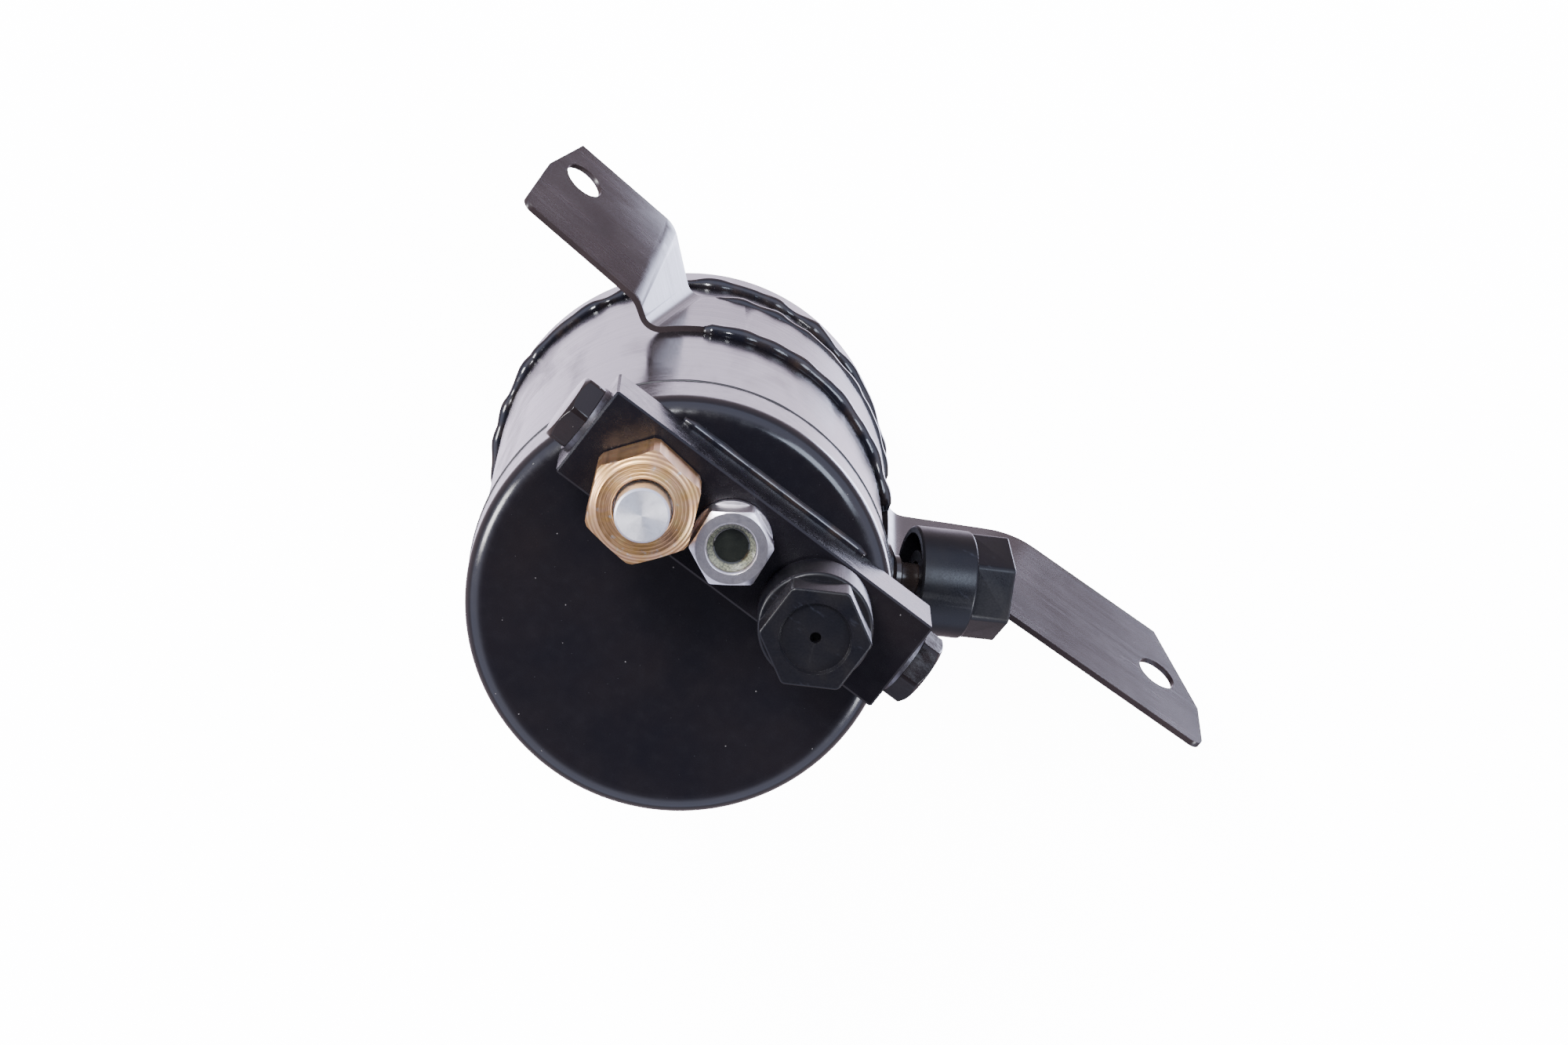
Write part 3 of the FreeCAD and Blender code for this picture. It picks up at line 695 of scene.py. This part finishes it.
@dataclass
class Fillet:
    """A straight fillet of weld along the manifold's foot."""

    start: Vector
    reach: float
    size: float = 1.3 * MM
    lumps: float = 0.16
    ripple: float = 1.5 * MM
    sway: float = 7.0 * MM
    step: float = 0.6 * MM
    end_run: float = 5.0 * MM

    def build(self, work: bmesh.types.BMesh) -> None:
        """Adds the fillet to a bmesh, running along X.

        Args:
            work: the bmesh that holds the manifold's welds.
        """
        steps = int(self.reach / self.step)
        ring = bmesh.ops.create_circle(work, cap_ends=False, radius=self.size,
                                       segments=BEAD_SIDES)
        verts = ring["verts"]
        turn = Matrix.Rotation(math.pi / 2, 4, "Y")
        bmesh.ops.transform(work, matrix=Matrix.Translation(self.start) @ turn, verts=verts)
        edges = list({edge for vert in verts for edge in vert.link_edges})
        ends, made = list(edges), list(verts)
        for _ in range(steps):
            grown = bmesh.ops.extrude_edge_only(work, edges=edges)["geom"]
            fresh = [part for part in grown if isinstance(part, bmesh.types.BMVert)]
            edges = [part for part in grown if isinstance(part, bmesh.types.BMEdge)
                     and all(vert in fresh for vert in part.verts)]
            bmesh.ops.translate(work, vec=(self.reach / steps, 0.0, 0.0), verts=fresh)
            made += fresh
        bmesh.ops.holes_fill(work, edges=ends + edges, sides=BEAD_CAP_SIDES)
        self.raise_drops(made)

    def raise_drops(self, verts: list) -> None:
        """Moves each point out or in from the run's middle.

        Args:
            verts: the fillet's points.
        """
        for vert in verts:
            middle = Vector((vert.co.x, self.start.y, self.start.z))
            travel = vert.co.x - self.start.x
            swell = noise.noise(Vector((travel / self.sway, self.start.y * 900, 0.0)))
            share = 1.0 + self.lumps * (0.1 * math.sin(travel / self.ripple) + swell)
            near = min(travel, self.reach - travel)
            share *= min(1.0, 0.5 + near / self.end_run)
            vert.co = middle + (vert.co - middle) * share


# ------------------------------------------------------------------ sub-assemblies
@dataclass
class Vessel:
    """The welded pressure vessel: shell, end caps and the base weld."""

    radius: float = 50.0 * MM
    shell_r: float = 48.8 * MM
    base_seam: float = 16.0 * MM
    skirt_seam: float = 143.1 * MM

    def build(self) -> None:
        """Dresses the shell and caps, lays the base weld, and lays a thin dark ring at the skirt
        seam as painted shade.
        """
        brushed = Enamel("shell_enamel", lay=Lay.ROUND, gloss=0.15).make()
        disc = Enamel("cap_enamel", gloss=0.17, dust=0.14).make()
        weld = WeldEnamel("weld_enamel").make()
        dress("shell", brushed)
        dress("top_cap", disc)
        dress("base_cap", brushed)
        bead = Bead("base_weld_bead", self.shell_r + 0.1 * MM, self.base_seam + 0.9 * MM,
                    size=1.9 * MM, seed=2.0, lumps=0.5).build(weld)
        stand_for(bead, BODY, "weld_bead", "base_weld")
        # Painted shade: a thin ring of rough dark enamel at the skirt seam stands in for the
        # shadow in the gap where the cap's skirt steps down to the shell.
        seam_shade = Enamel("seam_shade_paint", gloss=0.55, dust=0.0).make()
        seam = Bead("skirt_seam", self.radius - 0.1 * MM, self.skirt_seam, size=0.36 * MM,
                    seed=6.0, lumps=0.2).build(seam_shade)
        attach(seam, BODY)
        log.info("vessel dressed")


@dataclass
class Bracket:
    """The strap with its two drilled ears, and the welds that hold it."""

    shell_r: float = 48.8 * MM
    low: float = 38.0 * MM
    high: float = 77.5 * MM
    edge: float = 0.32 * MM

    def build(self) -> None:
        """Builds the rounded strap and its welds."""
        coat = SheetCoat("bracket_coat").make()
        weld = WeldEnamel("strap_weld_enamel").make()
        rounded("bracket", "strap_bracket", coat, BODY, "bracket_paint", self.edge, 40.0,
                flat=0.04)
        upper = Bead("strap_weld_upper", self.shell_r + 0.55 * MM, self.high + 0.3 * MM,
                     size=2.1 * MM, first=42.0, last=122.0, seed=4.0, lumps=0.4).build(weld)
        stand_for(upper, BODY, "weld_bead", "bracket_weld_upper")
        lower = Bead("strap_weld_lower", self.shell_r + 0.55 * MM, self.low - 0.3 * MM,
                     size=1.8 * MM, first=40.0, last=120.0, seed=9.0, lumps=0.4).build(weld)
        stand_for(lower, BODY, "weld_bead", "bracket_weld_lower")


@dataclass
class Manifold:
    """The ported bar across the top cap, its welds and its end plugs."""

    front: float = 12.8 * MM
    rear: float = 36.4 * MM
    foot: float = 164.0 * MM
    rear_run: float = 26.5 * MM
    front_run: float = 40.0 * MM
    edge: float = 0.25 * MM

    def build(self) -> None:
        """Builds the bar's pieces."""
        paint = Enamel("manifold_enamel", gloss=0.23, dust=0.10, index=1.40).make()
        plugs = Enamel("plug_enamel", colour=(0.005, 0.0045, 0.006), gloss=0.13,
                       haze=(0.016, 0.010, 0.009), peel=0.00003, index=1.38).make()
        weld = WeldEnamel("manifold_weld_enamel").make()
        washer = TurnedMetal("soft_washer", colour=(0.16, 0.15, 0.16), dull=(0.07, 0.06, 0.06),
                             gloss=0.42).make()
        dress("manifold_bar", paint)
        rounded("gallery_plugs", "end_plugs", plugs, BODY, "plug_paint", self.edge, 28.0)
        dress("plug_washers", washer)
        beads = bmesh.new()
        for side, reach in ((self.rear + 0.25 * MM, 2 * self.rear_run),
                            (self.front - 0.25 * MM, 2 * self.front_run)):
            Fillet(Vector((-reach / 2, side, self.foot + 0.2 * MM)), reach).build(beads)
        bmesh.ops.recalc_face_normals(beads, faces=beads.faces)
        bead = finish_mesh(beads, "manifold_weld_beads", weld, 80.0)
        stand_for(bead, BODY, "weld_bead", "manifold_weld")


@dataclass
class Union:
    """The blanked union: stub, gold nut and bright plug."""

    centre: tuple = (-25.6 * MM, 21.2 * MM, 0.0)
    edge: float = 0.22 * MM

    def build(self) -> None:
        """Builds the nut and dresses the rest."""
        zinc = YellowZinc("yellow_zinc_plate", self.centre).make()
        bright = TurnedMetal("faced_aluminium", colour=(0.88, 0.87, 0.90),
                             dull=(0.70, 0.69, 0.72), centre=self.centre, gloss=0.46,
                             stretch=0.75).make()
        steel = TurnedMetal("stub_steel", colour=(0.56, 0.55, 0.55), dull=(0.35, 0.34, 0.34),
                            centre=self.centre).make()
        rounded("union_nut", "gold_union_nut", zinc, "union_nut", "yellow_zinc", self.edge, 24.0)
        dress("blanking_plug", bright)
        dress("union_stub", steel)
        dress("plug_o_ring", Nitrile("o_ring_rubber").make())


@dataclass
class SightGlass:
    """The sight glass: plated hexagon, lens and seal."""

    centre: tuple = (-3.3 * MM, 24.9 * MM, 0.0)
    edge: float = 0.2 * MM

    def build(self) -> None:
        """Builds the hexagon and dresses the lens and seal."""
        nickel = TurnedMetal("satin_nickel", colour=(0.74, 0.70, 0.73), dull=(0.52, 0.48, 0.49),
                             centre=self.centre, gloss=0.32, ring_pitch=0.0003).make()
        rounded("sight_glass_body", "sight_glass_hexagon", nickel, BODY, "nickel_steel",
                self.edge, 28.0)
        dress("sight_glass_lens", FusedGlass("fused_glass", self.centre).make())
        dress("sight_glass_seal", Nitrile("seal_rubber").make())


@dataclass
class CappedPort:
    """A sprung charging valve under a moulded dust cap."""

    side: str
    collar: bpy.types.Material
    nylon: bpy.types.Material
    steel: bpy.types.Material
    brass: bpy.types.Material
    rubber: bpy.types.Material
    edge: float = 0.45 * MM

    def build(self) -> None:
        """Builds the cap and dresses the port's other pieces."""
        rounded(self.side + "_port_cap", self.side + "_dust_cap", self.nylon,
                self.side + "_cap", "black_plastic", self.edge, 30.0, sharp=35.0)
        for part, finish in (("_port_body", self.collar), ("_cap_seal", self.rubber),
                             ("_valve_core", self.brass), ("_valve_pin", self.steel),
                             ("_valve_spring", self.steel)):
            dress(self.side + part, finish)
        log.info("%s port dressed", self.side)


@dataclass
class Inside:
    """The plain steel parts inside the vessel."""

    nodes: tuple = ("dip_tube", "pickup_strainer", "strainer_foot", "baffle_plate",
                    "return_diffuser")

    def build(self, steel: bpy.types.Material) -> None:
        """Dresses the inner parts.

        Args:
            steel: their finish.
        """
        for node in self.nodes:
            dress(node, steel)


# ------------------------------------------------------------------ studio
@dataclass
class Viewpoint:
    """Where the camera stands: it looks down on the manifold end from behind the bracket."""

    tilt: float = 13.24
    clock: float = 123.43
    roll: float = -4.135
    distance: float = 1.43056
    target: tuple = (0.0, 0.0, 0.1)
    aim_right: float = -0.9832
    aim_up: float = 0.2316
    lens: float = 135.0

    def build(self) -> None:
        """Creates the camera and makes it the scene's."""
        tilt, clock = math.radians(self.tilt), math.radians(self.clock)
        back = Vector((math.sin(tilt) * math.cos(clock), math.sin(tilt) * math.sin(clock),
                       math.cos(tilt)))
        up = Vector((math.cos(clock), math.sin(clock), 0.0))
        up = (up - back * up.dot(back)).normalized()
        basis = Matrix((up.cross(back), up, back)).transposed()
        basis = (basis @ Matrix.Rotation(math.radians(-self.roll), 3, "Z")
                 @ Matrix.Rotation(math.radians(self.aim_right), 3, "Y")
                 @ Matrix.Rotation(math.radians(self.aim_up), 3, "X"))
        data = bpy.data.cameras.new("camera")
        data.lens = self.lens
        data.sensor_width = 36.0
        data.clip_start = 0.05
        data.clip_end = 20.0
        camera = bpy.data.objects.new("camera", data)
        place = Vector(self.target) + back * self.distance
        camera.matrix_world = Matrix.Translation(place) @ basis.to_4x4()
        bpy.context.scene.collection.objects.link(camera)
        bpy.context.scene.camera = camera


@dataclass
class Softbox:
    """One soft lamp aimed at the vessel."""

    name: str
    clock: float
    rise: float
    power: float
    size: float
    tint: tuple = (1.0, 1.0, 1.0)
    reach: float = 1.6

    def build(self) -> None:
        """Creates the lamp."""
        clock, rise = math.radians(self.clock), math.radians(self.rise)
        way = Vector((math.cos(rise) * math.cos(clock), math.cos(rise) * math.sin(clock),
                      math.sin(rise)))
        data = bpy.data.lights.new(self.name, "AREA")
        data.shape = "SQUARE"
        data.size = self.size
        data.energy = self.power
        data.color = self.tint
        lamp = bpy.data.objects.new(self.name, data)
        turn = way.to_track_quat("Z", "Y").to_matrix().to_4x4()
        lamp.matrix_world = Matrix.Translation(way * self.reach + Vector((0, 0, 0.1))) @ turn
        bpy.context.scene.collection.objects.link(lamp)


@dataclass
class Studio:
    """Floor, surrounding light and lamps.

    bands lists the surround's colour by the Z of its direction, from straight down to straight
    up. kicker is a brighter patch low on the bracket's side, at kicker_way.
    """

    strength: float = 3.0
    floor_size: float = 6.0
    kicker_way: tuple = (0.398, 0.371, -0.839)
    kicker: tuple = (3.4, 3.6, 4.8, 1.0)
    kicker_edge: tuple = (0.950, 0.985)
    bands: tuple = (
        (-1.00, (0.86, 0.76, 0.96)), (-0.93, (0.86, 0.76, 0.96)), (-0.87, (0.27, 0.23, 0.26)),
        (-0.70, (0.20, 0.16, 0.18)), (-0.10, (0.16, 0.15, 0.18)), (0.02, (0.38, 0.41, 0.56)),
        (0.55, (0.44, 0.46, 0.60)), (0.80, (0.10, 0.10, 0.13)), (0.93, (0.032, 0.032, 0.040)),
        (1.00, (0.032, 0.032, 0.040)),
    )

    def build(self) -> None:
        """Builds the floor, the surroundings and the lamps."""
        work = bmesh.new()
        bmesh.ops.create_grid(work, x_segments=1, y_segments=1, size=self.floor_size)
        bmesh.ops.translate(work, vec=(0.0, 0.0, -0.0002), verts=work.verts)
        floor = finish_mesh(work, "pale_floor", StudioFloor().make(), 40.0)
        # The camera sees the floor. The surround below stands in for it in reflections.
        floor.visible_glossy = False
        floor.visible_diffuse = False
        floor.visible_shadow = False
        self.surround()
        for lamp in (
            Softbox("key_softbox", 150.0, 50.0, 40.0, 0.45, (0.95, 0.96, 1.0)),
            Softbox("left_softbox", 204.0, 22.0, 28.0, 0.5, (1.0, 0.99, 0.98)),
            Softbox("right_softbox", 5.0, 32.0, 18.0, 0.45, (0.93, 0.95, 1.0)),
            Softbox("cool_softbox", 70.0, 50.0, 12.0, 0.6, (0.72, 0.82, 1.0)),
        ):
            lamp.build()

    def surround(self) -> None:
        """A soft surround in level bands: bright below, darker at the sides and overhead."""
        world = bpy.data.worlds.new("studio")
        bpy.context.scene.world = world
        world.use_nodes = True
        tree = world.node_tree
        place = tree.nodes.new("ShaderNodeTexCoord").outputs["Generated"]
        parts = tree.nodes.new("ShaderNodeSeparateXYZ")
        tree.links.new(place, parts.inputs[0])
        level = tree.nodes.new("ShaderNodeMapRange")
        level.inputs[1].default_value = -1.0
        tree.links.new(parts.outputs[2], level.inputs[0])
        ramp = tree.nodes.new("ShaderNodeValToRGB")
        tree.links.new(level.outputs[0], ramp.inputs[0])
        stops = ramp.color_ramp.elements
        while len(stops) < len(self.bands):
            stops.new(0.5)
        for stop, (height, colour) in zip(stops, self.bands):
            stop.position = (height + 1.0) / 2.0
            stop.color = (*colour, 1.0)
        facing = tree.nodes.new("ShaderNodeVectorMath")
        facing.operation = "DOT_PRODUCT"
        tree.links.new(place, facing.inputs[0])
        facing.inputs[1].default_value = self.kicker_way
        spot = tree.nodes.new("ShaderNodeMapRange")
        spot.interpolation_type = "SMOOTHSTEP"
        spot.inputs[1].default_value, spot.inputs[2].default_value = self.kicker_edge
        tree.links.new(facing.outputs["Value"], spot.inputs[0])
        shade = tree.nodes["Background"]
        added = tree.nodes.new("ShaderNodeMix")
        added.data_type = "RGBA"
        added.blend_type = "ADD"
        added.clamp_result = False
        tree.links.new(spot.outputs[0], added.inputs[0])
        tree.links.new(ramp.outputs[0], added.inputs[6])
        added.inputs[7].default_value = self.kicker
        tree.links.new(added.outputs[2], shade.inputs["Color"])
        shade.inputs["Strength"].default_value = self.strength


# ------------------------------------------------------------------ the whole reservoir
def main() -> None:
    """Builds every piece, the studio and the camera, and reports each piece."""
    logging.basicConfig(level=logging.INFO, format="%(name)s: %(message)s")
    Viewpoint().build()
    Studio().build()
    Vessel().build()
    Bracket().build()
    Manifold().build()
    Union().build()
    SightGlass().build()
    nylon = MouldedNylon("moulded_nylon").make()
    steel = TurnedMetal("turned_steel", colour=(0.58, 0.57, 0.58), dull=(0.36, 0.35, 0.35)).make()
    brass = TurnedMetal("turned_brass", colour=(0.74, 0.56, 0.26), dull=(0.5, 0.36, 0.18)).make()
    rubber = Nitrile("cap_seal_rubber").make()
    collar = Enamel("port_enamel", colour=(0.016, 0.013, 0.013), gloss=0.2,
                    haze=(0.05, 0.035, 0.03)).make()
    for side, body in (("front", steel), ("side", collar)):
        CappedPort(side, body, nylon, steel, brass, rubber).build()
    dress("side_port_weld", WeldEnamel("port_weld_enamel").make())
    Inside().build(steel)


if __name__ == "__main__":
    main()
